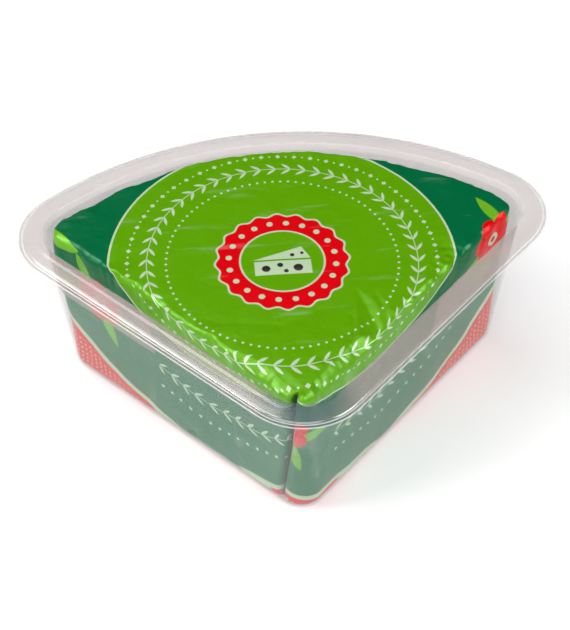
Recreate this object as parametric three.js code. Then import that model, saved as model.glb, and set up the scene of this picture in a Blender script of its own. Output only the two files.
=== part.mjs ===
// A wedge of blue cheese, an eighth of a wheel, wrapped in printed foil and lying in its
// open, clear, flanged tray. Millimetres, +Z up, the tip of the wedge towards -Y.
// The tray stands on Z = 0, and the origin is under the middle of its rim.
import * as THREE from "three";

// Tray: a rounded quarter circle with drafted walls. Offsets count from the rim's inner line.
const TRAY_HEIGHT = 86.7;
const RIM_RADIUS = 160;
const RIM_ARC_CENTRE = 6;
const RIM_TIP_FILLET = 19;
const RIM_CORNER_FILLET = 18.5;
const WALL = 0.8;
const DRAFT = 7;
const FLOOR_FILLET = 7.3;
const FLANGE_FLAT = 8;
const RIM_OVERHANG = 11.4;
const LIP_DROP = 2.9;

// Wedge: a slice of a round cheese of this radius, cut to half the wheel's height.
const CHEESE_RADIUS = 150.5;
const WEDGE_OPENING = 88.7;
const WEDGE_TIP = new THREE.Vector2(-1.6, 8);
const WEDGE_TURN = -0.65;
const WEDGE_TOP = 87.6;
const WEDGE_TIP_FILLET = 3.5;
const WEDGE_CORNER_FILLET = 5;
const FOOT_RADIUS = 7;
const PACKING_GAP = 0.6;

// The wrapped top's edge: its rounding, and the flatter slope beside the tip, on the right.
const EDGE_RADIUS = 2.2;
const SLOPE_EXTRA = 3.4;
const SLOPE_MIDDLE = [17, 27];
const SLOPE_REACH = 21;

// How the foil lies round the arc: direction from the tip in degrees, and bulge.
const ARC_BULGES = [
  [46, 0], [52, 0.6], [58, 0.5], [65, -0.9], [72, -1.1], [81, 1.2], [90, 0.5],
  [98, 0.5], [105, 1.1], [113, -1.5], [119, -0.1], [125, -1.2], [131, 0.2], [134, 0],
];

// Creases pressed into the wrapped top: from, to, width and depth.
const TOP_CREASES = [
  { from: [23, 66], to: [31, 50], width: 3.2, depth: 1.1 },
  { from: [29, 42], to: [41, 47], width: 5, depth: 1.7 },
  { from: [70, 92], to: [74, 80], width: 3.5, depth: 0.8 },
  { from: [-15, 25], to: [-5, 16], width: 4, depth: 1 },
];

// The cleft down the tip, where the foil of both sides meets: plan at the foot and at the top.
const CLEFT = { foot: [-10.2, 20.6], top: [-5.4, 12.4], width: 1.9, depth: 1.7 };

// How finely the outlines are cut up: pieces along each side, arc, corner and tip.
const TRAY_STEPS = { side: 4, arc: 30, corner: 7, tip: 9, gather: 1 };
const WEDGE_STEPS = { side: 22, arc: 46, corner: 5, tip: 8, gather: 1.6 };

const { clamp, degToRad, lerp } = THREE.MathUtils;

// An outline of a slice of a circle with rounded tip and corners, anticlockwise from the right
// side's near end. Each point carries its outward normal, so an offset is a move along it.
// The pieces of the sides are gathered towards the tip by a power.
function roundedSector(shape, steps) {
  const { radius, opening, arcCentre, tipFillet, cornerFillet } = shape;
  const points = [];
  const half = degToRad(opening) / 2;
  const alongSide = new THREE.Vector2(Math.sin(half), Math.cos(half));
  const sideNormal = new THREE.Vector2(Math.cos(half), -Math.sin(half));
  const arcMiddle = new THREE.Vector2(0, arcCentre);
  const fromArc = sideNormal.clone().multiplyScalar(-cornerFillet).sub(arcMiddle);
  const b = alongSide.dot(fromArc);
  const reach = -b + Math.sqrt(b * b - fromArc.lengthSq() + (radius - cornerFillet) ** 2);
  const tipCentre = new THREE.Vector2(0, tipFillet / Math.sin(half));
  const nearEnd = tipCentre.clone().addScaledVector(sideNormal, tipFillet);
  const farEnd = alongSide.clone().multiplyScalar(reach);
  const cornerCentre = farEnd.clone().addScaledVector(sideNormal, -cornerFillet);
  const outward = Math.atan2(cornerCentre.y - arcCentre, cornerCentre.x);
  const mirrored = (v) => new THREE.Vector2(-v.x, v.y);

  const addArc = (centre, r, from, to, count) => {
    for (let i = 0; i < count; i++) {
      const angle = lerp(from, to, i / count);
      const normal = new THREE.Vector2(Math.cos(angle), Math.sin(angle));
      points.push({ at: centre.clone().addScaledVector(normal, r), normal });
    }
  };
  for (let i = 0; i < steps.side; i++) {
    const share = (i / steps.side) ** steps.gather;
    points.push({ at: nearEnd.clone().lerp(farEnd, share), normal: sideNormal.clone() });
  }
  addArc(cornerCentre, cornerFillet, -half, outward, steps.corner);
  addArc(arcMiddle, radius, outward, Math.PI - outward, steps.arc);
  addArc(mirrored(cornerCentre), cornerFillet, Math.PI - outward, Math.PI + half, steps.corner);
  for (let i = steps.side; i > 0; i--) {
    const share = (i / steps.side) ** steps.gather;
    const at = mirrored(nearEnd.clone().lerp(farEnd, share));
    points.push({ at, normal: mirrored(sideNormal) });
  }
  addArc(tipCentre, tipFillet, Math.PI + half, 2 * Math.PI - half, steps.tip);
  return points;
}

// Joins a chain of equal rings into one closed body. The first and last ring are closed by
// a fan on their own middle. Rings run anticlockwise, from the underside outwards and over.
function closedBody(rings) {
  const count = rings[0].length;
  const positions = rings.flat().flatMap((v) => v.toArray());
  const triangles = [];
  for (let k = 0; k + 1 < rings.length; k++) {
    for (let i = 0; i < count; i++) {
      const a = k * count + i;
      const b = k * count + ((i + 1) % count);
      triangles.push(a, b, b + count, a, b + count, a + count);
    }
  }
  const addFan = (k, facingDown) => {
    const middle = positions.length / 3;
    const centre = new THREE.Vector3();
    rings[k].forEach((v) => centre.addScaledVector(v, 1 / count));
    positions.push(...centre.toArray());
    for (let i = 0; i < count; i++) {
      const a = k * count + i;
      const b = k * count + ((i + 1) % count);
      triangles.push(middle, facingDown ? b : a, facingDown ? a : b);
    }
  };
  addFan(0, true);
  addFan(rings.length - 1, false);
  const geometry = new THREE.BufferGeometry();
  geometry.setAttribute("position", new THREE.Float32BufferAttribute(positions, 3));
  geometry.setIndex(triangles);
  geometry.computeVertexNormals();
  return geometry;
}

const RIM = {
  radius: RIM_RADIUS,
  opening: 90,
  arcCentre: RIM_ARC_CENTRE,
  tipFillet: RIM_TIP_FILLET,
  cornerFillet: RIM_CORNER_FILLET,
};

// A fillet of the floor as [offset, height] pairs, from the floor's edge up to the wall.
function floorFillet(radius, z, bends) {
  return Array.from({ length: bends + 1 }, (_, i) => {
    const angle = ((Math.PI / 2) * i) / bends;
    const offset = -DRAFT - FLOOR_FILLET + radius * Math.sin(angle);
    return [offset, z + radius * (1 - Math.cos(angle))];
  });
}

// The tray's section as [offset, height] pairs: under the floor, up the outside, round the
// flange and its turned-out lip, and down the inside to the floor.
function traySection() {
  const top = TRAY_HEIGHT;
  const lip = top - LIP_DROP;
  return [
    ...floorFillet(FLOOR_FILLET, 0, 5),
    [0, top - 3.2],
    [0.7, top - 1.4],
    [2, top - WALL],
    [FLANGE_FLAT - 0.4, top - WALL],
    [FLANGE_FLAT + 0.6, top - 1.4],
    [FLANGE_FLAT + 1, lip + 0.2],
    [FLANGE_FLAT + 1.3, lip],
    [RIM_OVERHANG - 0.2, lip],
    [RIM_OVERHANG, lip + 0.3],
    [RIM_OVERHANG - 0.2, lip + 0.7],
    [FLANGE_FLAT + 2.1, lip + 0.8],
    [FLANGE_FLAT + 1.7, lip + 1.2],
    [FLANGE_FLAT + 1.4, top - 0.8],
    [FLANGE_FLAT + 0.8, top - 0.2],
    [FLANGE_FLAT, top],
    [3, top],
    [2.4, top - 0.1],
    [0.2, top - 0.6],
    [-0.5, top - 1.2],
    [-WALL - 0.1, top - 3.2],
    ...floorFillet(FLOOR_FILLET - WALL, WALL, 5).reverse(),
  ];
}

function makeTray() {
  const outline = roundedSector(RIM, TRAY_STEPS);
  return closedBody(traySection().map(([offset, z]) =>
    outline.map(({ at, normal }) =>
      new THREE.Vector3(at.x + normal.x * offset, at.y + normal.y * offset, z))));
}

// A soft hollow: how far it sinks at a distance from its line.
const hollow = (distance, width, depth) => -depth * Math.exp(-((distance / width) ** 2));

function distanceToSegment(x, y, [ax, ay], [bx, by]) {
  const along = ((x - ax) * (bx - ax) + (y - ay) * (by - ay)) / ((bx - ax) ** 2 + (by - ay) ** 2);
  const t = clamp(along, 0, 1);
  return Math.hypot(x - ax - t * (bx - ax), y - ay - t * (by - ay));
}

// How far the wrapped top rises or sinks at a point of the plan.
function topRelief(x, y) {
  const swell = 0.3 * Math.sin(x / 27 + 0.6) * Math.cos(y / 31) + 0.15 * Math.sin(x / 13 - y / 17);
  return TOP_CREASES.reduce(
    (sum, c) => sum + hollow(distanceToSegment(x, y, c.from, c.to), c.width, c.depth),
    swell,
  );
}

// How far the foil's edge is rounded at a point of the outline.
function edgeRadius(x, y) {
  const away = Math.hypot(x - SLOPE_MIDDLE[0], y - SLOPE_MIDDLE[1]) / SLOPE_REACH;
  return EDGE_RADIUS + SLOPE_EXTRA * Math.exp(-(away ** 4));
}

// How far the foil bulges round the arc, at a direction and distance from the tip.
function arcBulge(direction, distance) {
  const after = ARC_BULGES.findIndex(([angle]) => angle > direction);
  if (after < 1 || distance < CHEESE_RADIUS - 12) {
    return 0;
  }
  const [a, low] = ARC_BULGES[after - 1];
  const [b, high] = ARC_BULGES[after];
  return lerp(low, high, (1 - Math.cos((Math.PI * (direction - a)) / (b - a))) / 2);
}

// How far the wrapped side bulges at a point of the plan and a share of the height.
function sideRelief(x, y, up) {
  const direction = (Math.atan2(y - WEDGE_TIP.y, x - WEDGE_TIP.x) * 180) / Math.PI;
  const bulge = arcBulge(direction, Math.hypot(x - WEDGE_TIP.x, y - WEDGE_TIP.y));
  const cleftX = lerp(CLEFT.foot[0], CLEFT.top[0], up);
  const cleftY = lerp(CLEFT.foot[1], CLEFT.top[1], up);
  const cleft = hollow(Math.hypot(x - cleftX, y - cleftY), CLEFT.width, CLEFT.depth);
  const slack = 0.5 * Math.sin(Math.PI * up) ** 2 * (1 + Math.sin(x / 19 + y / 11));
  return bulge * up + cleft - slack;
}

// The wrapped wedge: its foot follows the tray's inside, and its top is the slice's own
// outline, lying a little turned and off centre in the tray.
function makeWedge() {
  const topLine = roundedSector({
    radius: CHEESE_RADIUS,
    opening: WEDGE_OPENING,
    arcCentre: 0,
    tipFillet: WEDGE_TIP_FILLET,
    cornerFillet: WEDGE_CORNER_FILLET,
  }, WEDGE_STEPS);
  const turn = degToRad(WEDGE_TURN);
  const origin = new THREE.Vector2();
  topLine.forEach(({ at, normal }) => {
    at.rotateAround(origin, turn).add(WEDGE_TIP);
    normal.rotateAround(origin, turn);
  });
  const footZ = WALL + 0.3;
  const sideZ = footZ + FOOT_RADIUS;
  const footDraft = (DRAFT * (TRAY_HEIGHT - sideZ)) / (TRAY_HEIGHT - FLOOR_FILLET);
  const footInset = footDraft + WALL + PACKING_GAP;
  const footLine = roundedSector(RIM, WEDGE_STEPS);
  footLine.forEach(({ at, normal }) => at.addScaledVector(normal, -footInset));
  const rounding = topLine.map(({ at }) => edgeRadius(at.x, at.y));
  const middle = new THREE.Vector2(WEDGE_TIP.x, WEDGE_TIP.y + CHEESE_RADIUS / 2);

  // A ring at a share of the height, drawn in by an inset for each of its points.
  const ringAt = (up, insetOf, heightOf, relief) =>
    topLine.map(({ at, normal }, i) => {
      const foot = footLine[i];
      const place = foot.at.clone().lerp(at, up);
      const facing = foot.normal.clone().lerp(normal, up).normalize();
      place.addScaledVector(facing, relief * sideRelief(place.x, place.y, up) - insetOf(i));
      return new THREE.Vector3(place.x, place.y, heightOf(i, place));
    });
  const towardsMiddle = (ring, share) =>
    ring.map((v) => new THREE.Vector3(lerp(middle.x, v.x, share), lerp(middle.y, v.y, share), v.z));

  const rings = [];
  const sole = ringAt(0, () => FOOT_RADIUS, () => footZ, 0);
  rings.push(towardsMiddle(sole, 0.35), towardsMiddle(sole, 0.75));
  const bends = 4;
  for (let i = 0; i < bends; i++) {
    const angle = ((Math.PI / 2) * i) / bends;
    const inset = FOOT_RADIUS * (1 - Math.sin(angle));
    const z = footZ + FOOT_RADIUS * (1 - Math.cos(angle));
    rings.push(ringAt(0, () => inset, () => z, i / bends));
  }
  const levels = 8;
  for (let i = 0; i <= levels; i++) {
    const up = i / levels;
    rings.push(ringAt(up, () => 0, (k) => lerp(sideZ, WEDGE_TOP - rounding[k], up), 1));
  }
  for (let i = 1; i <= bends; i++) {
    const angle = ((Math.PI / 2) * i) / bends;
    const rise = Math.sin(angle);
    const insetOf = (k) => rounding[k] * (1 - Math.cos(angle));
    const heightOf = (k, place) =>
      WEDGE_TOP - rounding[k] * (1 - rise) + topRelief(place.x, place.y) * rise;
    rings.push(ringAt(1, insetOf, heightOf, 1));
  }
  const edge = rings[rings.length - 1];
  for (const share of [0.96, 0.9, 0.81, 0.7, 0.57, 0.42, 0.27, 0.13]) {
    rings.push(towardsMiddle(edge, share).map((v) => v.setZ(WEDGE_TOP + topRelief(v.x, v.y))));
  }
  return closedBody(rings);
}

const trayMaterial = new THREE.MeshStandardMaterial({
  color: 0xded8d3, roughness: 0.25, metalness: 0, transparent: true, opacity: 0.45,
});
const foilMaterial = new THREE.MeshStandardMaterial({
  color: 0x4f9a10, roughness: 0.35, metalness: 0.1,
});

const tray = new THREE.Mesh(makeTray(), trayMaterial);
tray.name = "tray";
const wedge = new THREE.Mesh(makeWedge(), foilMaterial);
wedge.name = "wrapped_wedge";

// The rim reaches from its rounded tip to its arc, and the origin lies half way between.
const rimNear = RIM_TIP_FILLET * (Math.SQRT2 - 1) - RIM_OVERHANG;
const rimFar = RIM_ARC_CENTRE + RIM_RADIUS + RIM_OVERHANG;

const pack = new THREE.Group();
pack.add(tray, wedge);
pack.position.y = -(rimNear + rimFar) / 2;

export default pack;
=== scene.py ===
"""A wedge of blue cheese in printed foil, lying in its open clear tray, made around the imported
frame. Outlines and sections are worked out in millimetres, and the meshes are in metres."""

import math

import bmesh
import bpy
from bpy.props import FloatProperty, FloatVectorProperty, PointerProperty
from mathutils import Matrix, Vector, noise


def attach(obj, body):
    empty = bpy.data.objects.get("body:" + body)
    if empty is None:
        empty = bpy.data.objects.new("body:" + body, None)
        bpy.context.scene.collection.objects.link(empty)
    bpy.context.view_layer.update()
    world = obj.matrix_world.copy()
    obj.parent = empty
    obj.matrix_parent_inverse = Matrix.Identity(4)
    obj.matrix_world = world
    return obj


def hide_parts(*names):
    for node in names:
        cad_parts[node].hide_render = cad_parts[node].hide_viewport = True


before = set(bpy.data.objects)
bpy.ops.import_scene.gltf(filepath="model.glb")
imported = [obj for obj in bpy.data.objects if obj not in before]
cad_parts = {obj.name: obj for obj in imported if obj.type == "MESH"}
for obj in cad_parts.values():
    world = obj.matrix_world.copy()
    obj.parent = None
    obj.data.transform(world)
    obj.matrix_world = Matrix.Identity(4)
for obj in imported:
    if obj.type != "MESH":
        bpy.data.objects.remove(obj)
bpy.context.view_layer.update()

bl_info = {
    "name": "Foil-wrapped cheese wedge",
    "version": (1, 0, 0),
    "blender": (4, 5, 0),
    "location": "View3D > Sidebar > Cheese Wedge",
    "description": "Makes a wedge of cheese in printed foil, its clear tray and a stage",
    "category": "Add Mesh",
}

MM = 0.001
TO_MM = 1000.0

# The rim's arc and the wedge's place in the tray, in millimetres from the rim's sharp tip.
RIM_ARC_CENTRE = 6.0
RIM_TIP_FILLET = 19.0
RIM_CORNER_FILLET = 18.5
WEDGE_TIP = Vector((-1.6, 8.0))
WEDGE_OPENING = 88.7
WEDGE_TURN = math.radians(-0.65)
WEDGE_TIP_FILLET = 3.5
WEDGE_CORNER_FILLET = 5.0
FOOT_RADIUS = 7.0
PACKING_GAP = 0.2

# The tray's section: how far the rounded foot reaches, the lip's depth below the rim's top, and
# the width and drop of the shoulder outside the flat of the rim.
FOOT_REACH = 7.3
LIP_DEPTH = 2.9
SHOULDER_WIDTH = 3.4
SHOULDER_DROP = 0.9
FILLET_PIECES = 8
TRAY_STEPS = (16, 20, 110, 28, 1.0)

# The flatter slope of the foil's edge beside the tip, on the right.
SLOPE_EXTRA = 3.4
SLOPE_MIDDLE = Vector((17.0, 27.0))
SLOPE_REACH = 21.0

# The crumpled flap of the edge beside the tip, on the left.
FLAP_EXTRA = 2.2
FLAP_MIDDLE = Vector((-15.0, 23.0))
FLAP_REACH = 15.0

# How the foil lies round the arc: direction from the tip in degrees, and bulge.
ARC_BULGES = (
    (46, 0), (51.5, 1.4), (57, 0.5), (65, -0.3), (71, 0.1), (80, 1.3), (88, 1.9),
    (99, 1.9), (106, 1.7), (113, -0.2), (119, 0.5), (124, -0.6), (130, 0.7), (134, 0),
)

# How the foil fills the tray's left back corner: where, how far out and how far round.
CORNER_BULGE_MIDDLE = Vector((-103.0, 116.0))
CORNER_BULGE = 2.0
CORNER_BULGE_REACH = 9.0

# Soft creases pressed into the wrapped top: from, to, width and depth.
TOP_CREASES = (
    ((70, 92), (74, 80), 3.5, 0.8),
    ((-15, 25), (-5, 16), 4.0, 1.0),
    ((24, 53), (22.5, 42), 0.9, 0.35),
    ((-40, 56), (-8, 50), 2.2, 0.22),
    ((-8, 50), (12, 58), 2.0, 0.22),
    ((20, 30), (34, 46), 2.4, 0.5),
)

# Folded dents with flat flanks: from, to, and the half width and depth where they end.
TOP_DENTS = (
    ((27.0, 70.0), (35.0, 41.5), 9.5, 3.0),
    ((34.0, 70.0), (40.0, 47.0), 3.5, 1.0),
    ((-23.0, 36.0), (-13.0, 17.0), 3.5, 1.0),
)

# Ripples round a spot near the right edge.
RIPPLE_MIDDLE = Vector((69.5, 84.0))

# The cleft down the tip: plan at the foot and at the top, width and depth.
CLEFT_FOOT = Vector((-10.2, 20.6))
CLEFT_TOP = Vector((-5.4, 12.4))
CLEFT_WIDTH = 1.5
CLEFT_DEPTH = 3.2

# The printed sheet is laid out round this middle of its disc. Near the tip it is drawn in, on
# the right wall it sags, and below the top edge it lies slack. The sole is far out on the band.
DISC_MIDDLE = Vector((-3.15, 88.46))
TIP_PULL = 0.07
TIP_SAG = 5.0
SHEET_SLACK = 1.6
SOLE_PLACE = Vector((400.0, 0.0))

# Radii of the print's rings round the disc's middle, in millimetres on the flat sheet.
SEAL_WINDOW = 18.1
SEAL_DOTS = 23.6
SEAL_RADIUS = 28.4
INNER_DOTS = 51.0
INNER_GARLAND = 59.5
DIAMOND_RING = 68.0
DISC_RADIUS = 75.9
OUTER_GARLAND = 103.5
ROSETTE_RING = 104.0
OUTER_DOTS = 116.5
BAND_RADIUS = 140.0
BAND_BORDER = 3.2
LATTICE = 4.2

# Leaves beside a rosette: middle, lie in degrees, length and width. A loose one lies further off.
ROSETTE_LEAVES = (((13.5, 8.0), 28, 24, 6.5), ((14.5, -6.5), -22, 23, 5.5))
LOOSE_LEAF = ((-33.0, -5.0), -45, 25, 8.0)

# Holes of the small drawing: place and radius.
DRAWN_HOLES = (
    (-7.5, -4.5, 1.9), (-1.2, -2.6, 1.3), (1.2, -6.3, 1.1),
    (6.6, -4.6, 2.1), (4.6, 3.3, 1.0), (9.0, 4.2, 0.8),
)

# The camera: place in millimetres, azimuth, elevation and roll in degrees, and frame shift.
CAMERA_PLACE = Vector((-47.74, -487.74, 586.93))
CAMERA_ANGLES = (-4.245, 48.122, -0.607)
CAMERA_SHIFT = (0.0328, 0.0314)


def srgb(red, green, blue):
    """A screen colour from 0 to 255 as the linear colour that shaders use."""
    linear = []
    for value in (red / 255, green / 255, blue / 255):
        linear.append(value / 12.92 if value <= 0.04045 else ((value + 0.055) / 1.055) ** 2.4)
    return (*linear, 1.0)


def lerp(a, b, share):
    """The value at a share of the way from a to b."""
    return a + (b - a) * share


# ---- sizes and colours


class TraySettings(bpy.types.PropertyGroup):
    """Sizes and finish of the clear tray."""

    height: FloatProperty(
        name="Height", description="From the table to the rim's top",
        default=0.0867, min=0.02, unit="LENGTH")
    rim_radius: FloatProperty(
        name="Rim radius", description="Radius of the rim's arc at its inner line",
        default=0.160, min=0.05, unit="LENGTH")
    draft: FloatProperty(
        name="Draft", description="How far the walls lean in from the rim to the floor",
        default=0.007, min=0.0, unit="LENGTH")
    wall: FloatProperty(
        name="Wall", description="Thickness of the plastic",
        default=0.0008, min=0.0003, unit="LENGTH")
    overhang: FloatProperty(
        name="Rim width", description="How far the rim stands out from its inner line",
        default=0.0114, min=0.005, unit="LENGTH")
    tint: FloatVectorProperty(
        name="Tint", description="Colour of the plastic", subtype="COLOR", size=4,
        default=(0.21, 0.26, 0.25, 1.0), min=0.0, max=1.0)
    rim_tint: FloatVectorProperty(
        name="Rim tint", description="Colour of the plastic's rim", subtype="COLOR", size=4,
        default=(0.41, 0.31, 0.29, 1.0), min=0.0, max=1.0)
    # Painted shade: the rim round the tip takes this dark colour because the rounded rim there
    # catches no sheen.
    shaded_tip_tint: FloatVectorProperty(
        name="Tip tint", description="Colour of the rim round the tip, where it is clearer",
        subtype="COLOR", size=4, default=(0.02, 0.06, 0.07, 1.0), min=0.0, max=1.0)
    cover: FloatProperty(
        name="Wall cover", description="How much of what is behind it one skin of a wall hides",
        default=0.15, min=0.0, max=1.0, subtype="FACTOR")
    rim_cover: FloatProperty(
        name="Rim cover", description="The same for the rim, where the plastic is thicker",
        default=0.5, min=0.0, max=1.0, subtype="FACTOR")
    edge_cover: FloatProperty(
        name="Edge cover", description="The same for the rim's rounded edges, seen edge on",
        default=0.42, min=0.0, max=1.0, subtype="FACTOR")
    under_cover: FloatProperty(
        name="Under cover", description="The same for the rim's clear underside",
        default=0.06, min=0.0, max=1.0, subtype="FACTOR")
    roughness: FloatProperty(
        name="Roughness", description="Roughness of the plastic",
        default=0.18, min=0.0, max=1.0, subtype="FACTOR")
    rim_roughness: FloatProperty(
        name="Rim roughness", description="Roughness of the milky rim under its gloss",
        default=0.34, min=0.0, max=1.0, subtype="FACTOR")


class FoilSettings(bpy.types.PropertyGroup):
    """Sizes, creases and print of the wrapped wedge."""

    radius: FloatProperty(
        name="Cheese radius", description="Radius of the round that the wedge is cut from",
        default=0.1505, min=0.05, unit="LENGTH")
    top: FloatProperty(
        name="Top", description="Height of the wedge's top above the table",
        default=0.0876, min=0.02, unit="LENGTH")
    edge: FloatProperty(
        name="Edge radius", description="Rounding of the foil over the wedge's top edge",
        default=0.0019, min=0.0005, unit="LENGTH")
    crinkle: FloatProperty(
        name="Crinkle", description="Depth of the crinkles along the top edge",
        default=0.0005, min=0.0, unit="LENGTH")
    ground: FloatVectorProperty(
        name="Ground", description="Dark green ground of the print", subtype="COLOR",
        size=4, default=srgb(0, 97, 55), min=0.0, max=1.0)
    disc: FloatVectorProperty(
        name="Disc", description="Light green of the disc", subtype="COLOR",
        size=4, default=srgb(87, 150, 2), min=0.0, max=1.0)
    red: FloatVectorProperty(
        name="Red", description="Red of the seal, the rosettes and the band",
        subtype="COLOR", size=4, default=srgb(205, 1, 12), min=0.0, max=1.0)
    cream: FloatVectorProperty(
        name="Cream", description="Cream of the borders, garlands and dots",
        subtype="COLOR", size=4, default=srgb(176, 196, 163), min=0.0, max=1.0)
    leaf: FloatVectorProperty(
        name="Leaf", description="Green of the leaves beside the rosettes",
        subtype="COLOR", size=4, default=srgb(102, 166, 32), min=0.0, max=1.0)
    ink: FloatVectorProperty(
        name="Ink", description="Nearly black ink of the small drawing",
        subtype="COLOR", size=4, default=srgb(44, 40, 38), min=0.0, max=1.0)


class StageSettings(bpy.types.PropertyGroup):
    """The camera, the floor and the light."""

    lens: FloatProperty(
        name="Focal length", description="Focal length of the camera",
        default=91.297, min=10.0, unit="CAMERA")
    floor: FloatVectorProperty(
        name="Floor", description="Colour of the floor", subtype="COLOR", size=4,
        default=(0.95, 0.95, 0.95, 1.0), min=0.0, max=1.0)
    surround: FloatProperty(
        name="Surround", description="Brightness of the white backdrop round the stage",
        default=0.95, min=0.0)
    front: FloatProperty(
        name="Front light", description="Power of the large soft light at the front",
        default=32.0, min=0.0, unit="POWER")
    left: FloatProperty(
        name="Left light", description="Power of the large soft light up on the left",
        default=9.0, min=0.0, unit="POWER")
    right: FloatProperty(
        name="Right light", description="Power of the soft light on the right",
        default=12.0, min=0.0, unit="POWER")
    glint: FloatProperty(
        name="Small light", description="Power of the small light that draws the highlights",
        default=10.0, min=0.0, unit="POWER")


# ---- outlines and lofts


def slice_outline(radius, opening, arc_centre, tip_fillet, corner_fillet, steps):
    """The outline of a slice of a round with rounded tip and corners, anticlockwise from the
    right side's near end, as pairs of a point and its outward normal. steps gives the pieces
    of a side, a corner, the arc and the tip, and the power that gathers a side's pieces
    towards the tip."""
    side, corner, arc, tip, gather = steps
    half = math.radians(opening) / 2
    along = Vector((math.sin(half), math.cos(half)))
    side_normal = Vector((math.cos(half), -math.sin(half)))
    from_arc = side_normal * -corner_fillet - Vector((0, arc_centre))
    b = along.dot(from_arc)
    reach = -b + math.sqrt(b * b - from_arc.length_squared + (radius - corner_fillet) ** 2)
    tip_middle = Vector((0, tip_fillet / math.sin(half)))
    near_end = tip_middle + side_normal * tip_fillet
    far_end = along * reach
    corner_middle = far_end - side_normal * corner_fillet
    outward = math.atan2(corner_middle.y - arc_centre, corner_middle.x)
    points = []

    def add_arc(middle, r, start, end, count):
        for i in range(count):
            angle = lerp(start, end, i / count)
            normal = Vector((math.cos(angle), math.sin(angle)))
            points.append((middle + normal * r, normal))

    def mirrored(v):
        return Vector((-v.x, v.y))

    for i in range(side):
        points.append((near_end.lerp(far_end, (i / side) ** gather), side_normal.copy()))
    add_arc(corner_middle, corner_fillet, -half, outward, corner)
    add_arc(Vector((0, arc_centre)), radius, outward, math.pi - outward, arc)
    add_arc(mirrored(corner_middle), corner_fillet, math.pi - outward, math.pi + half, corner)
    for i in range(side, 0, -1):
        at = near_end.lerp(far_end, (i / side) ** gather)
        points.append((mirrored(at), mirrored(side_normal)))
    add_arc(tip_middle, tip_fillet, math.pi + half, 2 * math.pi - half, tip)
    return points


def rim_outline(tray, steps):
    """The outline of the tray at the rim's inner line."""
    return slice_outline(tray.rim_radius / MM, 90.0, RIM_ARC_CENTRE, RIM_TIP_FILLET,
                         RIM_CORNER_FILLET, steps)


def rim_middle(overhang):
    """How far the middle of the rim lies from its sharp tip: the origin is under it."""
    near = RIM_TIP_FILLET * (math.sqrt(2) - 1) - overhang
    far = RIM_ARC_CENTRE + bpy.context.scene.cheese_tray.rim_radius / MM + overhang
    return (near + far) / 2


def loft(rings):
    """Draws a ring of edges out from ring to ring. Each vertex keeps its column and row."""
    bm = bmesh.new()
    column = bm.verts.layers.int.new("column")
    row = bm.verts.layers.int.new("row")
    bmesh.ops.create_circle(bm, cap_ends=False, segments=len(rings[0]), radius=1.0)
    for i, vert in enumerate(bm.verts):
        vert[column] = i
    front = bm.edges[:]
    verts = bm.verts[:]
    for k, ring in enumerate(rings):
        if k:
            drawn = bmesh.ops.extrude_edge_only(bm, edges=front)["geom"]
            verts = [g for g in drawn if isinstance(g, bmesh.types.BMVert)]
            front = [g for g in drawn if isinstance(g, bmesh.types.BMEdge) and g.is_boundary]
        for vert in verts:
            vert.co = ring[vert[column]] * MM
            vert[row] = k
    return bm, column, row


def close_to_points(bm, row, *rows):
    """Draws each of the end rings together into one point."""
    for k in rows:
        ring = [v for v in bm.verts if v[row] == k]
        middle = sum((v.co for v in ring), Vector()) / len(ring)
        bmesh.ops.pointmerge(bm, verts=ring, merge_co=middle)


def add_piece(name, bm, materials, node):
    """Turns a bmesh into a smooth piece that rides on the root and replaces a node."""
    bmesh.ops.recalc_face_normals(bm, faces=bm.faces)
    for face in bm.faces:
        face.smooth = True
    mesh = bpy.data.meshes.new(name)
    bm.to_mesh(mesh)
    bm.free()
    for material in materials:
        mesh.materials.append(material)
    piece = bpy.data.objects.new(name, mesh)
    bpy.context.scene.collection.objects.link(piece)
    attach(piece, "root")
    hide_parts(node)
    return piece


# ---- node building


class Field:
    """A number that varies over a surface. Sums on fields add math nodes to their tree."""

    def __init__(self, tree, source):
        self.tree = tree
        self.source = source

    def made(self, operation, *others, clamp=False):
        node = self.tree.nodes.new("ShaderNodeMath")
        node.operation = operation
        node.use_clamp = clamp
        for socket, value in zip(node.inputs, (self, *others)):
            if isinstance(value, Field):
                self.tree.links.new(value.source, socket)
            else:
                socket.default_value = value
        return Field(self.tree, node.outputs[0])

    def __add__(self, other):
        return self.made("ADD", other)

    def __sub__(self, other):
        return self.made("SUBTRACT", other)

    def __rsub__(self, other):
        return (self * -1.0) + other

    def __mul__(self, other):
        return self.made("MULTIPLY", other)

    def __truediv__(self, other):
        return self.made("DIVIDE", other)

    def __abs__(self):
        return self.made("ABSOLUTE")

    def sine(self):
        return self.made("SINE")

    def cosine(self):
        return self.made("COSINE")

    def least(self, other):
        return self.made("MINIMUM", other)

    def most(self, other):
        return self.made("MAXIMUM", other)

    def within(self, soft=0.15):
        """1 where the field is below zero, 0 where it is above, blurred over a short way."""
        return (self * (-0.5 / soft)).made("ADD", 0.5, clamp=True)


def plan_of(tree, vector):
    """A vector's x and y as fields in millimetres."""
    split = tree.nodes.new("ShaderNodeSeparateXYZ")
    tree.links.new(vector, split.inputs[0])
    return (Field(tree, split.outputs[k]) * TO_MM for k in (0, 1))


def length(x, y):
    """Distance of a point on the surface from the pattern's middle."""
    return (x * x + y * y).made("SQRT")


def disc_field(x, y, middle, radius):
    """Below zero inside a disc."""
    return length(x - middle[0], y - middle[1]) - radius


def leaf_field(x, y, middle, turn, long, wide):
    """Below zero inside a pointed leaf that is turned by some degrees."""
    dx, dy = x - middle[0], y - middle[1]
    cos, sin = math.cos(math.radians(turn)), math.sin(math.radians(turn))
    along = (dx * cos + dy * sin) * (2 / long)
    across = abs(dy * cos - dx * sin)
    return across - (1.0 - along * along) * (wide / 2)


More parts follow.
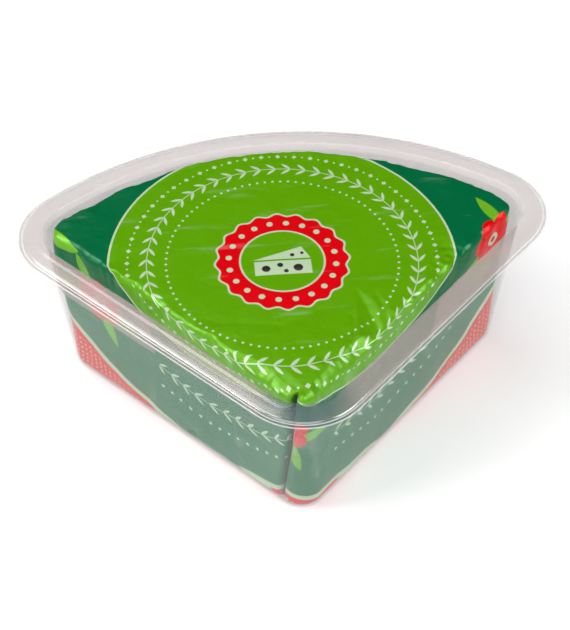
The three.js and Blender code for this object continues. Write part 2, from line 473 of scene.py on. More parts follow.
class Paint:
    """Layers of flat colour, one over another, each where its mask is."""

    def __init__(self, tree, colour):
        self.tree = tree
        self.colour = colour

    def over(self, colour, mask):
        mix = self.tree.nodes.new("ShaderNodeMix")
        mix.data_type = "RGBA"
        self.tree.links.new(mask.source, mix.inputs[0])
        if isinstance(self.colour, bpy.types.NodeSocket):
            self.tree.links.new(self.colour, mix.inputs[6])
        else:
            mix.inputs[6].default_value = self.colour
        mix.inputs[7].default_value = colour
        self.colour = mix.outputs[2]


def new_material(name):
    """A material with only its output and one shader."""
    material = bpy.data.materials.new(name)
    material.use_nodes = True
    tree = material.node_tree
    shader = next(n for n in tree.nodes if n.type == "BSDF_PRINCIPLED")
    return material, tree, shader


def fill_in(node, **values):
    """Sets a node's inputs, each named with _ for a space."""
    for name, value in values.items():
        node.inputs[name.replace("_", " ")].default_value = value


def noise_field(tree, vector, scale, detail, roughness=0.5, distortion=0.0):
    """Noise from 0 to 1, with scale in cells per metre."""
    node = tree.nodes.new("ShaderNodeTexNoise")
    fill_in(node, Scale=scale, Detail=detail, Roughness=roughness, Distortion=distortion)
    tree.links.new(vector, node.inputs["Vector"])
    return Field(tree, node.outputs["Fac"])


def stretched(tree, vector, scale, turn=0.0):
    """Coordinates drawn out by a Mapping node."""
    node = tree.nodes.new("ShaderNodeMapping")
    fill_in(node, Scale=scale, Rotation=(0.0, 0.0, turn))
    tree.links.new(vector, node.inputs["Vector"])
    return node.outputs[0]


def bump(tree, height, distance, strength, under=None):
    """A normal bent by a height field, over another bump if one lies under it."""
    node = tree.nodes.new("ShaderNodeBump")
    fill_in(node, Strength=strength, Distance=distance)
    tree.links.new(height.source, node.inputs["Height"])
    if under is not None:
        tree.links.new(under, node.inputs["Normal"])
    return node.outputs[0]


# ---- tray

WALL, RIM, EDGE, UNDER, SHOULDER, NECK = range(6)

# Middle, radius and soft edge of the rim's darker part round the tip: painted shade where the
# rounded rim catches no sheen.
SHADED_TIP = Vector((0.0, -78.0))
SHADED_REACH = 16.0
SHADED_BLUR = 7.0

# From here to the back, the top of the inner wall is as milky as the rim.
HAZY_FROM = -20.0


def rounded_path(corners, pieces):
    """A section of straight runs joined by fillets, from corners as (offset, height, fillet,
    zone). Each point comes with the zone of the run that follows it."""
    path = []
    for i, (x, z, fillet, zone) in enumerate(corners):
        here = Vector((x, z))
        if i in (0, len(corners) - 1) or not fillet:
            path.append((here, zone))
            continue
        before = Vector(corners[i - 1][:2]) - here
        after = Vector(corners[i + 1][:2]) - here
        turn = before.angle(after)
        reach = fillet / math.tan(turn / 2)
        start = here + before.normalized() * reach
        end = here + after.normalized() * reach
        middle = here + (before.normalized() + after.normalized()).normalized() * (
            fillet / math.sin(turn / 2))
        a, b = start - middle, end - middle
        for k in range(pieces + 1):
            point = middle + a.lerp(b, k / pieces).normalized() * fillet
            path.append((point, zone if k < pieces else after_zone(zone)))
    return path


def after_zone(zone):
    """The run after an edge's fillet belongs to the rim again."""
    return RIM if zone in (EDGE, SHOULDER) else zone


def tray_section(tray):
    """The tray's section, from under the floor, round the rim and down to the floor."""
    top = tray.height / MM
    wall = tray.wall / MM
    draft = tray.draft / MM
    out = tray.overhang / MM
    lip = top - LIP_DEPTH
    flat = out - SHOULDER_WIDTH
    return rounded_path((
        (-draft - FOOT_REACH, 0.0, 0.0, WALL),
        (-draft - 0.35, 0.0, 7.2, WALL),
        (0.0, top - wall, 2.2, UNDER),
        (flat + 0.3, top - wall - SHOULDER_DROP, 1.0, UNDER),
        (flat + 1.0, lip, 0.5, UNDER),
        (out, lip, 0.3, EDGE),
        (out, lip + 0.75, 0.3, EDGE),
        (flat + 1.8, lip + 0.8, 0.45, EDGE),
        (flat + 1.1, top - SHOULDER_DROP, 1.8, SHOULDER),
        (4.4, top - 0.28, 0.5, RIM),
        (3.0, top, 0.5, RIM),
        (0.4, top - 0.05, 0.5, NECK),
        (-wall, top - 3.2, 2.0, NECK),
        (-wall - 2.38, top - 30.0, 0.0, WALL),
        (-draft - wall - 0.35, wall, 6.4, WALL),
        (-draft - FOOT_REACH, wall, 0.0, WALL),
    ), FILLET_PIECES)


def plastic_material(name, tint, cover, roughness, gloss=1.6, shaded_tip_tint=None, shine=1.0):
    """Milky clear formed plastic: thin, glossy, faintly clouded and wavy. With a shaded_tip_tint
    the rim round the tip is tinted dark: painted shade where the rounded rim catches no sheen."""
    material, tree, shader = new_material(name)
    place = tree.nodes.new("ShaderNodeTexCoord").outputs["Object"]
    haze = noise_field(tree, place, scale=16.0, detail=2.0)
    clouded = Paint(tree, tuple(tint))
    clouded.over(tuple(0.85 * c for c in tint[:3]) + (1.0,), haze)
    # Painted shade: round the tip the rim is tinted dark where it catches no sheen.
    if shaded_tip_tint:
        x, y = plan_of(tree, place)
        shaded_tip_mask = disc_field(x, y, SHADED_TIP, SHADED_REACH).within(SHADED_BLUR)
        clouded.over(tuple(shaded_tip_tint), shaded_tip_mask)
    tree.links.new(clouded.colour, shader.inputs["Base Color"])
    fill_in(shader, Alpha=cover, Roughness=roughness, IOR=1.5, Specular_IOR_Level=1.0,
            Coat_Weight=shine, Coat_Roughness=0.1, Coat_IOR=gloss)
    upright = stretched(tree, place, (1.0, 1.0, 0.25))
    waves = noise_field(tree, upright, scale=24.0, detail=1.0)
    wavy = bump(tree, waves, distance=0.0006, strength=0.25)
    tree.links.new(wavy, shader.inputs["Normal"])
    return material


class MESH_OT_clear_tray(bpy.types.Operator):
    """Make the clear plastic tray with its turned-down rim"""

    bl_idname = "mesh.cheese_clear_tray"
    bl_label = "Clear Tray"
    bl_options = {"REGISTER", "UNDO"}

    def execute(self, context):
        tray = context.scene.cheese_tray
        outline = rim_outline(tray, TRAY_STEPS)
        shift = rim_middle(tray.overhang / MM)
        rings = []
        section = tray_section(tray)
        for (offset, z), _ in section:
            ring = []
            for at, normal in outline:
                place = at + normal * offset
                ring.append(Vector((place.x, place.y - shift, z)))
            rings.append(ring)
        bm, _, row = loft(rings)
        for k in (0, len(rings) - 1):
            ends = [e for e in bm.edges if all(v[row] == k for v in e.verts)]
            bmesh.ops.edgeloop_fill(bm, edges=ends)
        for face in bm.faces:
            zone = section[min(v[row] for v in face.verts)][1]
            if zone == NECK and face.calc_center_median().y < HAZY_FROM * MM:
                zone = WALL
            face.material_index = zone
        # The rim's rounded edges are painted much paler than the wall. This is a painted
        # highlight along the edges, together with the real whiteness of plastic seen edge on.
        pale_edge_and_highlight_tint = [lerp(c, 1.0, 0.86) for c in tray.tint[:3]] + [1.0]
        milky = (tray.rim_tint, tray.rim_cover, tray.rim_roughness)
        piece = add_piece("clear_tray", bm, (
            plastic_material("clear wall", tray.tint, tray.cover, tray.roughness),
            plastic_material("clear rim", *milky, 1.9, tray.shaded_tip_tint),
            plastic_material("clear edge", pale_edge_and_highlight_tint, tray.edge_cover, tray.roughness),
            plastic_material("clear underside", tray.tint, tray.under_cover, tray.roughness),
            plastic_material("clear shoulder", *milky, 2.4, tray.shaded_tip_tint),
            plastic_material("clear neck", *milky, 1.3, tray.shaded_tip_tint, shine=0.0),
        ), "tray")
        piece.visible_shadow = False
        return {"FINISHED"}


# ---- wrapped wedge


def hollow(distance, width, depth):
    """A soft round-bottomed hollow, at a distance from its middle."""
    return -depth * math.exp(-((distance / width) ** 2))


def distance_to_segment(p, a, b):
    a, b = Vector(a), Vector(b)
    t = min(max((p - a).dot(b - a) / (b - a).length_squared, 0.0), 1.0)
    return (p - a.lerp(b, t)).length


def top_relief(p):
    """How far the wrapped top rises or sinks at a point of the plan."""
    swell = 0.3 * math.sin(p.x / 27 + 0.6) * math.cos(p.y / 31)
    swell += 0.15 * math.sin(p.x / 13 - p.y / 17)
    for start, end, width, depth in TOP_CREASES:
        swell += hollow(distance_to_segment(p, start, end), width, depth)
    for start, end, width, depth in TOP_DENTS:
        swell += dent(p, start, end, width, depth)
    away = (p - RIPPLE_MIDDLE).length
    return swell + 0.4 * math.cos(away * 1.3) * math.exp(-((away / 7) ** 2))


def dent(p, start, end, width, depth):
    """A fold that widens and deepens along its valley, with two flat flanks."""
    start, end = Vector(start), Vector(end)
    axis = end - start
    t = (p - start).dot(axis) / axis.length_squared
    if t <= 0:
        return 0.0
    across = abs((p - start).cross(axis)) / axis.length
    fade = 1.0 if t < 1 else max(0.0, 1 - (t - 1) * 2)
    return -depth * min(t, 1.0) * fade * max(0.0, 1 - across / (0.8 + width * min(t, 1.0)))


def edge_radius(p, plain, along, on_arc):
    """How far the foil's edge is folded over, with the flatter slopes on both sides of the
    tip. Round the arc the edge is tight."""
    slope = (p - SLOPE_MIDDLE).length / SLOPE_REACH
    flap = (p - FLAP_MIDDLE).length / FLAP_REACH
    jagged = 0.3 * zigzag(along, 9.7, 1) + 0.2 * zigzag(along, 3.7, 2)
    return (plain * (0.65 if on_arc else 1.0) * (1 + jagged)
            + SLOPE_EXTRA * math.exp(-(slope ** 4)) + FLAP_EXTRA * math.exp(-(flap ** 4)))


def arc_bulge(direction, distance, radius):
    """How far the foil bulges round the arc, at a direction and distance from the tip."""
    if distance < radius - 12:
        return 0.0
    for (a, low), (b, high) in zip(ARC_BULGES, ARC_BULGES[1:]):
        if a <= direction < b:
            return lerp(low, high, (1 - math.cos(math.pi * (direction - a) / (b - a))) / 2)
    return 0.0


def side_relief(p, up, radius):
    """How far the wrapped side bulges at a point of the plan and a share of the height."""
    out = p - WEDGE_TIP
    bulge = arc_bulge(math.degrees(math.atan2(out.y, out.x)), out.length, radius)
    into_corner = (p - CORNER_BULGE_MIDDLE).length / CORNER_BULGE_REACH
    bulge += CORNER_BULGE * math.exp(-(into_corner ** 2)) * math.sin(math.pi * up ** 2)
    slack = 0.5 * math.sin(math.pi * up) ** 2 * (1 + math.sin(p.x / 19 + p.y / 11))
    return bulge * up - slack


def in_cleft(p, up):
    """How deep a point of the wall lies in the cleft at the tip, from 0 to 1."""
    return -hollow((p - CLEFT_FOOT.lerp(CLEFT_TOP, up)).length, CLEFT_WIDTH, 1.0)


def zigzag(along, cell, seed):
    """A jagged line of straight pieces, from -1 to 1."""
    whole = math.floor(along / cell)
    low, high = (noise.cell(Vector((whole + k + 0.5, seed + 0.5, 0.5))) for k in (0, 1))
    return lerp(low, high, along / cell - whole)


def crumpled(p, cell, seed):
    """Flat three-cornered facets with sharp folds between them, from -1 to 1."""
    drift = Vector((noise.noise(Vector((p.x, p.y, seed)) / (2.3 * cell)),
                    noise.noise(Vector((p.y, seed, p.x)) / (2.3 * cell))))
    at = p / cell + drift * 0.9
    skew = (at.x + at.y) * 0.366
    x, y = at.x + skew, at.y + skew
    i, j = math.floor(x), math.floor(y)
    x, y = x - i, y - j
    corners = ((0, 0, 1 - x), (1, 0, x - y), (1, 1, y)) if x > y else (
        (0, 0, 1 - y), (0, 1, y - x), (1, 1, x))
    return sum(noise.cell(Vector((i + a + 0.5, j + b + 0.5, seed + 0.5))) * share
               for a, b, share in corners)


class WrappedWedge:
    """Works out the rings of the wrapped wedge and where each lies on the printed sheet."""

    # Pieces of the outline, the sole's rings as shares of it, and numbers of rings above.
    STEPS = (190, 12, 150, 26, 1.3)
    SOLE = (0.02, 0.2, 0.4, 0.6, 0.75, 0.88, 0.96)
    FOOT_BENDS = 6
    LEVELS = 46
    EDGE_BENDS = 8
    TOP_RINGS = 58

    # How straight the edge's bend is cut, and how much longer than its radius the bend is.
    EDGE_EVENNESS = 0.7
    EDGE_RUN = 0.57

    # How the top's rings gather at the edge, how far in the last lies, and how soon they calm.
    TOP_GATHER = 1.25
    TOP_REACH = 0.99
    CALM_ROUNDS = 30
    CALM_REACH = 0.05

    # Height of the creased wall in millimetres, and by how many columns the panels overlap.
    WALL_HEIGHT = 78
    OVERLAP = 60

    def __init__(self, foil, tray):
        self.radius = foil.radius / MM
        self.top = foil.top / MM
        self.edge = foil.edge / MM
        self.crinkle = foil.crinkle / MM
        side, corner, arc, _, _ = self.STEPS
        top_line = slice_outline(
            self.radius, WEDGE_OPENING, 0.0, WEDGE_TIP_FILLET, WEDGE_CORNER_FILLET, self.STEPS)
        spin = Matrix.Rotation(WEDGE_TURN, 2)
        self.top_line = [(spin @ at + WEDGE_TIP, spin @ normal) for at, normal in top_line]
        wall = tray.wall / MM
        height = tray.height / MM
        self.foot_z = wall + 0.3
        self.side_z = self.foot_z + FOOT_RADIUS
        draft = tray.draft / MM * (height - self.side_z) / (height - FOOT_REACH)
        inset = draft + wall + PACKING_GAP
        self.foot_line = [(at - normal * inset, normal)
                          for at, normal in rim_outline(tray, self.STEPS)]
        self.middle = WEDGE_TIP + Vector((0, self.radius / 2))
        self.count = len(self.top_line)
        self.run = self.run_round()
        self.rounding = [
            edge_radius(at, self.edge, self.run[i], (at - WEDGE_TIP).length > self.radius - 6)
            for i, (at, _) in enumerate(self.top_line)]
        self.jag = [self.crinkle * (0.9 * zigzag(run, 6.1, 5) + 0.6 * zigzag(run, 2.3, 6))
                    for run in self.run]

        # The sheet's seams: in the cleft at the tip, and in the middle of the back corners.
        self.right_corner = side + corner // 2
        self.left_corner = side + corner + arc + corner // 2
        self.left_near = 2 * side + 2 * corner + arc
        self.cleft = self.left_near - 3

    def run_round(self):
        """How far along the top outline each column lies."""
        run = [0.0]
        for (a, _), (b, _) in zip(self.top_line, self.top_line[1:]):
            run.append(run[-1] + (b - a).length)
        return run

    def ring(self, up, inset_of, height_of, relief, parted=1.0):
        """A ring at a share of the height, drawn in by an inset for each of its columns.
        parted is how far the foil's cleft still stands open."""
        ring = []
        shade = []
        for i, (at, normal) in enumerate(self.top_line):
            foot, foot_normal = self.foot_line[i]
            place = foot.lerp(at, up)
            facing = foot_normal.lerp(normal, up).normalized()
            sunk = in_cleft(place, up) * parted
            out = relief * side_relief(place, up, self.radius) - inset_of(i)
            out -= CLEFT_DEPTH * sunk * relief
            if relief:
                out += self.wall_creases(place, up, i) * relief
            place = place + facing * out
            ring.append(Vector((place.x, place.y, height_of(i, place))))
            # How deep the point lies in the cleft, kept for the painted shade there.
            shade.append(sunk)
        self.shade.append(shade)
        return ring

    def wall_creases(self, place, up, i):
        """Crinkles across the top edge, fading down the wall, and long creases below."""
        along = self.run[i]
        down = (1 - up) * self.WALL_HEIGHT
        near = math.exp(-((down / 8) ** 2))
        tip = math.exp(-(((place - WEDGE_TIP).length / 24) ** 2))
        spot = Vector((along, down * 0.6))
        crinkle = self.jag[i] + self.crinkle * (0.8 + 0.5 * tip) * crumpled(spot, 6.5, 3)
        long = 0.35 * noise.noise(Vector((along / 34, down / 9, 5.0)))
        long += 0.3 * crumpled(Vector((along * 0.4, down)), 13.0, 9)
        return crinkle * near + long * (0.25 + 0.75 * up) * (1 - near)

    def top_height(self, p, share):
        """Height of the top at a point, with crumpled edges and broad flat facets."""
        near = max(share - 0.8, 0.0) / 0.2
        tip = math.exp(-(((p - WEDGE_TIP).length / 26) ** 2))
        fine = self.crinkle * (near ** 2 + 0.5 * tip) * (
            0.9 * crumpled(p, 8.0, 11) + 0.2 * crumpled(p, 3.4, 12))
        calm = 0.10 * noise.noise(Vector((p.x, p.y, 0.0)) / 11) + 0.11 * crumpled(p, 21.0, 13)
        return self.top + top_relief(p) + fine + calm

    def rings(self):
        """All rings, from the sole's middle up to the top's, and how far the sheet has run out
        from the top edge at each of them."""
        rings = []
        self.out = []
        self.shade = []
        sole = self.ring(0, lambda i: FOOT_RADIUS, lambda i, p: self.foot_z, 0)
        middle = self.middle
        self.shade *= len(self.SOLE)
        for share in self.SOLE:
            rings.append([Vector((lerp(middle.x, v.x, share), lerp(middle.y, v.y, share), v.z))
                          for v in sole])
            self.out.append(None)
        wall_run = self.top - self.side_z
        for k in range(self.FOOT_BENDS):
            angle = math.pi / 2 * k / self.FOOT_BENDS
            inset = FOOT_RADIUS * (1 - math.sin(angle))
            z = self.foot_z + FOOT_RADIUS * (1 - math.cos(angle))
            rings.append(self.ring(0, lambda i: inset, lambda i, p: z, k / self.FOOT_BENDS))
            self.out.append(lambda i, a=angle: wall_run + FOOT_RADIUS * (math.pi / 2 - a))
        for k in range(self.LEVELS + 1):
            up = k / self.LEVELS
            rings.append(self.ring(
                up, lambda i: 0.0,
                lambda i, p: lerp(self.side_z, self.top - self.rounding[i], up), 1))
            self.out.append(
                lambda i, u=up: wall_run * (1 - u) + self.EDGE_RUN * self.rounding[i])
        for k in range(1, self.EDGE_BENDS + 1):
            angle = math.pi / 2 * k / self.EDGE_BENDS
            flat_share = k / self.EDGE_BENDS
            rise = lerp(math.sin(angle), flat_share, self.EDGE_EVENNESS)
            inward = lerp(1 - math.cos(angle), flat_share, self.EDGE_EVENNESS)

            def inset_of(i):
                return self.rounding[i] * inward

            def height_of(i, p):
                lift = self.top_height(p, 1.0) - self.top
                return self.top - self.rounding[i] * (1 - rise) + lift * rise

            rings.append(self.ring(1, inset_of, height_of, 1, 1 - 0.8 * flat_share))
            self.out.append(lambda i, a=angle: self.rounding[i] * (math.pi / 2 - 1 - a))
        edge = [v.xy for v in rings[-1]]
        calm = edge
        for _ in range(self.CALM_ROUNDS):
            calm = [(calm[i - 1] + calm[i] * 2 + calm[(i + 1) % self.count]) / 4
                    for i in range(self.count)]
        for k in range(1, self.TOP_RINGS + 1):
            share = 1 - (k / self.TOP_RINGS) ** self.TOP_GATHER * self.TOP_REACH
            settled = min((1 - share) / self.CALM_REACH, 1.0)
            ring = []
            for sharp, soft in zip(edge, calm):
                p = middle.lerp(sharp.lerp(soft, settled), share)
                ring.append(Vector((p.x, p.y, self.top_height(p, share))))
            rings.append(ring)
            self.out.append(None)
        return rings

    def panel_of(self, i):
        """Which panel of the sheet covers a column."""
        if self.right_corner <= i < self.left_corner:
            return "arc"
        return "left" if self.left_corner <= i < self.cleft else "right"

    def run_from(self, ring, start):
        """How far along a ring each column lies from the starting one, the shorter way."""
        run = {start: 0.0}
        reach = self.count // 2 + self.OVERLAP
        for step in (1, -1):
            total = 0.0
            for i in range(start + step, start + step * reach, step):
                here, before = i % self.count, (i - step) % self.count
                total += step * (ring[here].xy - ring[before].xy).length
                if step > 0 or here not in run or -total < run[here]:
                    run[here] = total
        return run

    def lay_sheet(self, rings):
        """For each panel of the sheet, where each row and column lies on the flat print."""
        side, corner, arc, _, _ = self.STEPS
        half = math.radians(WEDGE_OPENING) / 2
        spin = Matrix.Rotation(WEDGE_TURN, 2)
        hand = {"right": 1, "left": -1}
        along = {panel: spin @ Vector((sign * math.sin(half), math.cos(half)))
                 for panel, sign in hand.items()}
        out = {panel: spin @ Vector((sign * math.cos(half), -math.sin(half)))
               for panel, sign in hand.items()}
        start = {"right": 0, "left": self.left_near, "arc": side + corner + arc // 2}
        first_wall = len(self.SOLE)
        first_edge = first_wall + self.FOOT_BENDS + self.LEVELS
        last_edge = first_edge + self.EDGE_BENDS
        sheet = {}
        for panel in ("right", "arc", "left"):
            for k in range(first_wall, last_edge + 1):
                ring = rings[k]
                blend = max(k - first_edge, 0) / self.EDGE_BENDS
                for i, travelled in self.run_from(ring, start[panel]).items():
                    w = self.out[k](i)
                    if panel == "arc":
                        angle = math.pi / 2 + WEDGE_TURN + travelled / self.radius
                        flat = WEDGE_TIP + (self.radius + w) * Vector(
                            (math.cos(angle), math.sin(angle)))
                    else:
                        s = (ring[start[panel]].xy - WEDGE_TIP).dot(along[panel])
                        s += travelled * hand[panel]
                        if panel == "right":
                            low = min(max(w - 20, 0.0) / 50, 1.0)
                            w -= low * (TIP_SAG * math.exp(-((s / 20) ** 2)) + 2.5)
                        flat = WEDGE_TIP + along[panel] * s + out[panel] * w
                    slack = SHEET_SLACK * min(max(w - 4, 0.0) / 14, 1.0)
                    spot = Vector((flat.x, flat.y, 3.0))
                    flat += Vector((noise.noise(spot / 17), noise.noise(spot / 14))) * slack
                    sheet[panel, k, i] = flat.lerp(ring[i].xy, blend)
        return sheet


def from_step_middle(count, angle, radius):
    """How far a point lies, along a ring of equal steps, from the middle of its own step."""
    step = 2 * math.pi / count
    return ((angle / step).made("FRACT") - 0.5) * radius * step


def leaf_garland(angle, radius, ring, count):
    """Pairs of pointed leaves on a stem that runs round the sheet's middle."""
    x = from_step_middle(count, angle, radius)
    y = abs(radius - ring)
    pitch = 2 * math.pi / count * ring
    leaf = leaf_field(x, y, (0.0, 0.25 * pitch), 38, 0.82 * pitch, 0.2 * pitch)
    return leaf.least(y - 0.2)


def dot_row(angle, radius, ring, count, size):
    """Dots in a row round the sheet's middle."""
    x = from_step_middle(count, angle, radius)
    return disc_field(x, radius, (0.0, ring), size)


def diamond_row(angle, radius, ring, count, size):
    """Diamonds in a row round the sheet's middle."""
    return abs(from_step_middle(count, angle, radius)) + abs(radius - ring) - size


def printed_sheet(tree, foil):
    """The print: disc, seal, garlands, rosettes and band, from the sheet's flat map."""
    flat_map = tree.nodes.new("ShaderNodeUVMap")
    flat_map.uv_map = "Print"
    x, y = plan_of(tree, flat_map.outputs[0])
    radius = length(x, y)
    angle = y.made("ARCTAN2", x)
    cream, red, leaf, ink = (tuple(c) for c in (foil.cream, foil.red, foil.leaf, foil.ink))
    paint = Paint(tree, tuple(foil.ground))

    # Ground between disc and band: a garland, a row of dots, leaves and rosettes.
    quarter = math.pi / 2
    fold = abs((angle / quarter + 0.95).made("FRACT") - 0.5)
    between = ((fold - 0.25).within(0.002) * (y - 10.0).within(0.5)
               + (fold - 0.13).within(0.002) * (10.0 - y).within(0.5))
    paint.over(cream, leaf_garland(angle, radius, OUTER_GARLAND, 84).within() * between)
    paint.over(cream, dot_row(angle, radius, OUTER_DOTS, 128, 0.9).within() * between)
    beside_cleft = (y + abs(x)).within(0.5) * 0.03
    turn = ((angle / quarter - beside_cleft + 0.45).made("FRACT") - 0.5) * quarter
    side = radius * turn.sine()
    outward = radius * turn.cosine() - ROSETTE_RING
    mirror = abs(side)
    for place in ROSETTE_LEAVES:
        paint.over(leaf, leaf_field(mirror, outward, *place).within())
    loose = leaf_field(side, outward, *LOOSE_LEAF)
    paint.over(leaf, loose.within() * (y * -1.0).within())
    bloom = length(side, outward)
    lobes = abs((outward.made("ARCTAN2", side) * 3.0).cosine())
    petal = bloom - (lobes * 3.4 + 10.4)
    paint.over(red, petal.within())
    dark_red = tuple(0.55 * c for c in red[:3]) + (1.0,)
    veins = (lobes - 0.10).within(0.05) * (bloom * -1.0 + 4.5).within() * petal.within()
    paint.over(dark_red, veins)
    paint.over(cream, (bloom - 3.6).within())
    paint.over(dark_red, (bloom - 1.7).within())

    # Disc with its garlands and seal.
    paint.over(cream, (radius - (DISC_RADIUS + 1.0)).within(0.1))
    paint.over(tuple(foil.disc), (radius - DISC_RADIUS).within(0.1))
    paint.over(cream, dot_row(angle, radius, INNER_DOTS, 90, 0.6).within())
    paint.over(cream, leaf_garland(angle, radius, INNER_GARLAND, 54).within())
    paint.over(cream, diamond_row(angle, radius, DIAMOND_RING, 56, 1.25).within())
    paint.over(cream, dot_row(angle + math.pi / 56, radius, DIAMOND_RING, 56, 0.5).within())
    scallop = (angle * 20.0).cosine() * 0.8
    paint.over(cream, (radius - scallop - (SEAL_RADIUS + 1.0)).within())
    paint.over(red, (radius - scallop - SEAL_RADIUS).within())
    paint.over(cream, dot_row(angle, radius, SEAL_DOTS, 20, 1.4).within())
    paint.over(cream, (radius - (SEAL_WINDOW + 0.9)).within())
    paint.over(tuple(foil.disc), (radius - SEAL_WINDOW).within())

    # The small drawing of a cut cheese.
    front = (abs(x) - 12.5).most(abs(y + 4.2) - 4.2)
    roof = (1.0 - y).most(y - x * 0.33 - 5.2).most(x + y * 0.5 - 13.0)
    paint.over(cream, front.least(roof).within())
    for *middle, size in DRAWN_HOLES:
        paint.over(ink, disc_field(x, y, middle, size).within())

    # Red band outside all, with its cream edge and a lattice of small dots.
    lattice = []
    for across in ((x + y) / LATTICE, (x - y) / LATTICE):
        lattice.append((across.made("FRACT") - 0.5) * LATTICE)
    dots = length(*lattice) - 0.85
    band = radius * -1.0 + BAND_RADIUS
    paint.over(cream, (band - BAND_BORDER).within())
    paint.over(red, band.within())
    paint.over(cream, dots.within() * (band + 3.0).within())
    return paint


def foil_material(foil):
    """Glossy printed foil with fine crinkles and pale streaks: partly rubbed marks, partly
    painted sheen.
    """
    material, tree, shader = new_material("printed foil")
    paint = printed_sheet(tree, foil)
    place = tree.nodes.new("ShaderNodeTexCoord").outputs["Object"]
    # Pale streaks drawn out along the foil: partly rubbed marks, partly a painted sheen.
    drawn = stretched(tree, place, (0.5, 3.2, 1.4), turn=0.06)
    streaks = noise_field(tree, drawn, scale=42.0, detail=4.0, roughness=0.6)
    rubbed_and_sheen_streaks = (streaks - 0.6).made("MULTIPLY", 0.8, clamp=True)
    paint.over(srgb(236, 240, 226), rubbed_and_sheen_streaks)
    # Painted shade: the foil deep in the cleft at the tip is painted nearly black.
    inside = tree.nodes.new("ShaderNodeAttribute")
    inside.attribute_name = "FoldShade"
    paint.over(srgb(8, 12, 10), (Field(tree, inside.outputs["Fac"]) - 0.25).made(
        "MULTIPLY", 1.5, clamp=True))
    tree.links.new(paint.colour, shader.inputs["Base Color"])
    gloss = noise_field(tree, place, scale=60.0, detail=3.0)
    tree.links.new((gloss * 0.2 + 0.22).source, shader.inputs["Roughness"])
    fill_in(shader, Metallic=0.13, Specular_IOR_Level=0.25)
    broad = noise_field(tree, place, scale=90.0, detail=2.0, distortion=0.6)
    dented = bump(tree, broad, distance=0.001, strength=0.5)
    slanted = stretched(tree, place, (1.0, 1.6, 1.0), turn=0.5)
    fine = noise_field(tree, slanted, scale=240.0, detail=1.0)
    crinkled = bump(tree, fine, distance=0.0001, strength=0.3, under=dented)
    tree.links.new(crinkled, shader.inputs["Normal"])
    return material


class MESH_OT_wrapped_wedge(bpy.types.Operator):
    """Make the wedge of cheese in its creased, printed foil"""

    bl_idname = "mesh.cheese_wrapped_wedge"
    bl_label = "Wrapped Wedge"
    bl_options = {"REGISTER", "UNDO"}

    def execute(self, context):
        foil, tray = context.scene.cheese_foil, context.scene.cheese_tray
        wedge = WrappedWedge(foil, tray)
        rings = wedge.rings()
        sheet = wedge.lay_sheet(rings)
        shift = Vector((0, rim_middle(tray.overhang / MM), 0))
        bm, column, row = loft([[v - shift for v in ring] for ring in rings])
        flat_map = bm.loops.layers.uv.new("Print")
        first_wall = len(wedge.SOLE)
        for face in bm.faces:
            columns = [v[column] for v in face.verts]
            low = max(columns) if max(columns) - min(columns) > 1 else min(columns)
            panel = wedge.panel_of(low)
            on_sole = min(v[row] for v in face.verts) < first_wall
            for loop in face.loops:
                k, i = loop.vert[row], loop.vert[column]
                place = rings[k][i].xy
                if on_sole:
                    place = place + SOLE_PLACE
                else:
                    place = sheet.get((panel, k, i), place)
                pull = TIP_PULL * math.exp(-(((place - WEDGE_TIP).length / 20) ** 2))
                loop[flat_map].uv = (place - DISC_MIDDLE) * (1 - pull) * MM
        # How deep each vertex lies in the cleft, which the foil material turns into painted
        # shade.
        shade = bm.verts.layers.float.new("FoldShade")
        for vert in bm.verts:
            if vert[row] < len(wedge.shade):
                vert[shade] = wedge.shade[vert[row]][vert[column]]
        close_to_points(bm, row, 0, len(rings) - 1)
        add_piece("printed_foil_wedge", bm, (foil_material(foil),),
                  "wrapped_wedge")
        return {"FINISHED"}


# ---- stage


def soft_light(name, power, size, place, target):
    """A rectangular area light that faces its target."""
    data = bpy.data.lights.new(name, "AREA")
    data.shape = "RECTANGLE"
    data.size, data.size_y = size
    data.energy = power
    light = bpy.data.objects.new(name, data)
    light.location = place
    light.rotation_euler = (Vector(target) - Vector(place)).to_track_quat("-Z", "Y").to_euler()
    bpy.context.scene.collection.objects.link(light)


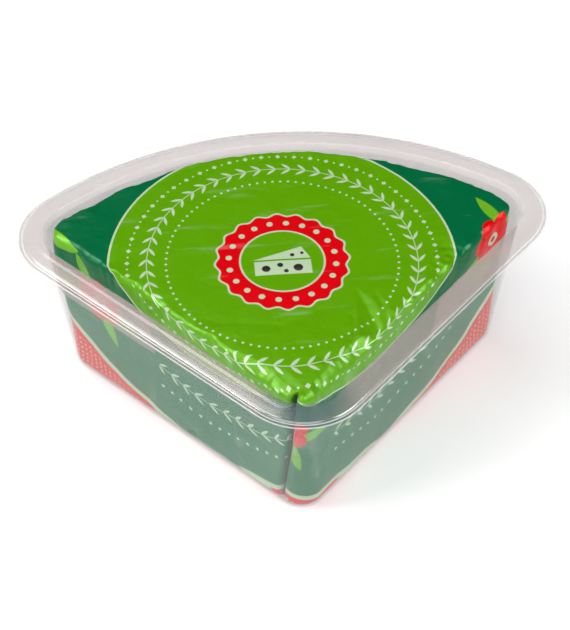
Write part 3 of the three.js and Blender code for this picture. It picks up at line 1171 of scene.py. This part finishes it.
class SCENE_OT_stage(bpy.types.Operator):
    """Make the pale floor, the soft studio light and the camera"""

    bl_idname = "scene.cheese_stage"
    bl_label = "Stage"
    bl_options = {"REGISTER", "UNDO"}

    def execute(self, context):
        scene = context.scene
        stage = scene.cheese_stage
        scene.view_settings.view_transform = "Standard"

        bm = bmesh.new()
        bmesh.ops.create_grid(bm, x_segments=1, y_segments=1, size=4.0)
        mesh = bpy.data.meshes.new("floor")
        bm.to_mesh(mesh)
        bm.free()
        floor = bpy.data.objects.new("floor", mesh)
        scene.collection.objects.link(floor)
        paper, _, shader = new_material("floor paper")
        fill_in(shader, Base_Color=stage.floor, Roughness=0.9, Specular_IOR_Level=0.1)
        mesh.materials.append(paper)

        world = bpy.data.worlds.new("white surround")
        world.use_nodes = True
        tree = world.node_tree
        surround = tree.nodes["Background"]
        sky = tree.nodes.new("ShaderNodeTexCoord").outputs["Generated"]
        split = tree.nodes.new("ShaderNodeSeparateXYZ")
        tree.links.new(sky, split.inputs[0])
        fade = tree.nodes.new("ShaderNodeMapRange")
        fade.interpolation_type = "SMOOTHSTEP"
        tree.links.new(split.outputs[2], fade.inputs["Value"])
        fill_in(fade, From_Min=0.2, From_Max=0.5, To_Min=stage.surround, To_Max=0.1)
        tree.links.new(fade.outputs[0], surround.inputs["Strength"])
        scene.world = world

        aim = (0, 0, 0.04)
        soft_light("front", stage.front, (2.4, 1.8), (-0.45, -1.5, 1.3), aim)
        soft_light("left", stage.left, (1.0, 0.8), (-0.6, 0.25, 1.3), aim)
        soft_light("right", stage.right, (0.7, 0.6), (0.95, -0.55, 0.75), aim)
        soft_light("glint", stage.glint, (0.6, 0.44), (-1.15, -0.14, 0.84), aim)

        data = bpy.data.cameras.new("camera")
        data.lens = stage.lens
        data.shift_x, data.shift_y = CAMERA_SHIFT
        camera = bpy.data.objects.new("camera", data)
        azimuth, elevation, roll = (math.radians(a) for a in CAMERA_ANGLES)
        back = Vector((math.sin(azimuth) * math.cos(elevation),
                       -math.cos(azimuth) * math.cos(elevation), math.sin(elevation)))
        right = Vector((math.cos(azimuth), math.sin(azimuth), 0.0))
        up = back.cross(right)
        rolled_right = right * math.cos(roll) + up * math.sin(roll)
        rolled_up = up * math.cos(roll) - right * math.sin(roll)
        turn = Matrix((rolled_right, rolled_up, back)).transposed()
        camera.matrix_world = Matrix.Translation(CAMERA_PLACE * MM) @ turn.to_4x4()
        scene.collection.objects.link(camera)
        scene.camera = camera
        return {"FINISHED"}


# ---- panel and registration


class VIEW3D_PT_cheese_wedge(bpy.types.Panel):
    """Lists the pieces and their sizes"""

    bl_idname = "VIEW3D_PT_cheese_wedge"
    bl_label = "Cheese Wedge"
    bl_space_type = "VIEW_3D"
    bl_region_type = "UI"
    bl_category = "Cheese Wedge"

    def draw(self, context):
        scene = context.scene
        for operator, settings in (
            (MESH_OT_clear_tray, scene.cheese_tray),
            (MESH_OT_wrapped_wedge, scene.cheese_foil),
            (SCENE_OT_stage, scene.cheese_stage),
        ):
            box = self.layout.box()
            for name in settings.__annotations__:
                box.prop(settings, name)
            box.operator(operator.bl_idname)


CLASSES = (
    TraySettings, FoilSettings, StageSettings,
    MESH_OT_clear_tray, MESH_OT_wrapped_wedge, SCENE_OT_stage, VIEW3D_PT_cheese_wedge,
)


def register():
    for cls in CLASSES:
        bpy.utils.register_class(cls)
    bpy.types.Scene.cheese_tray = PointerProperty(type=TraySettings)
    bpy.types.Scene.cheese_foil = PointerProperty(type=FoilSettings)
    bpy.types.Scene.cheese_stage = PointerProperty(type=StageSettings)


def unregister():
    del bpy.types.Scene.cheese_stage
    del bpy.types.Scene.cheese_foil
    del bpy.types.Scene.cheese_tray
    for cls in reversed(CLASSES):
        bpy.utils.unregister_class(cls)


def main():
    """Registers the classes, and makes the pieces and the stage."""
    register()
    bpy.ops.mesh.cheese_clear_tray()
    bpy.ops.mesh.cheese_wrapped_wedge()
    bpy.ops.scene.cheese_stage()


if __name__ == "__main__":
    main()
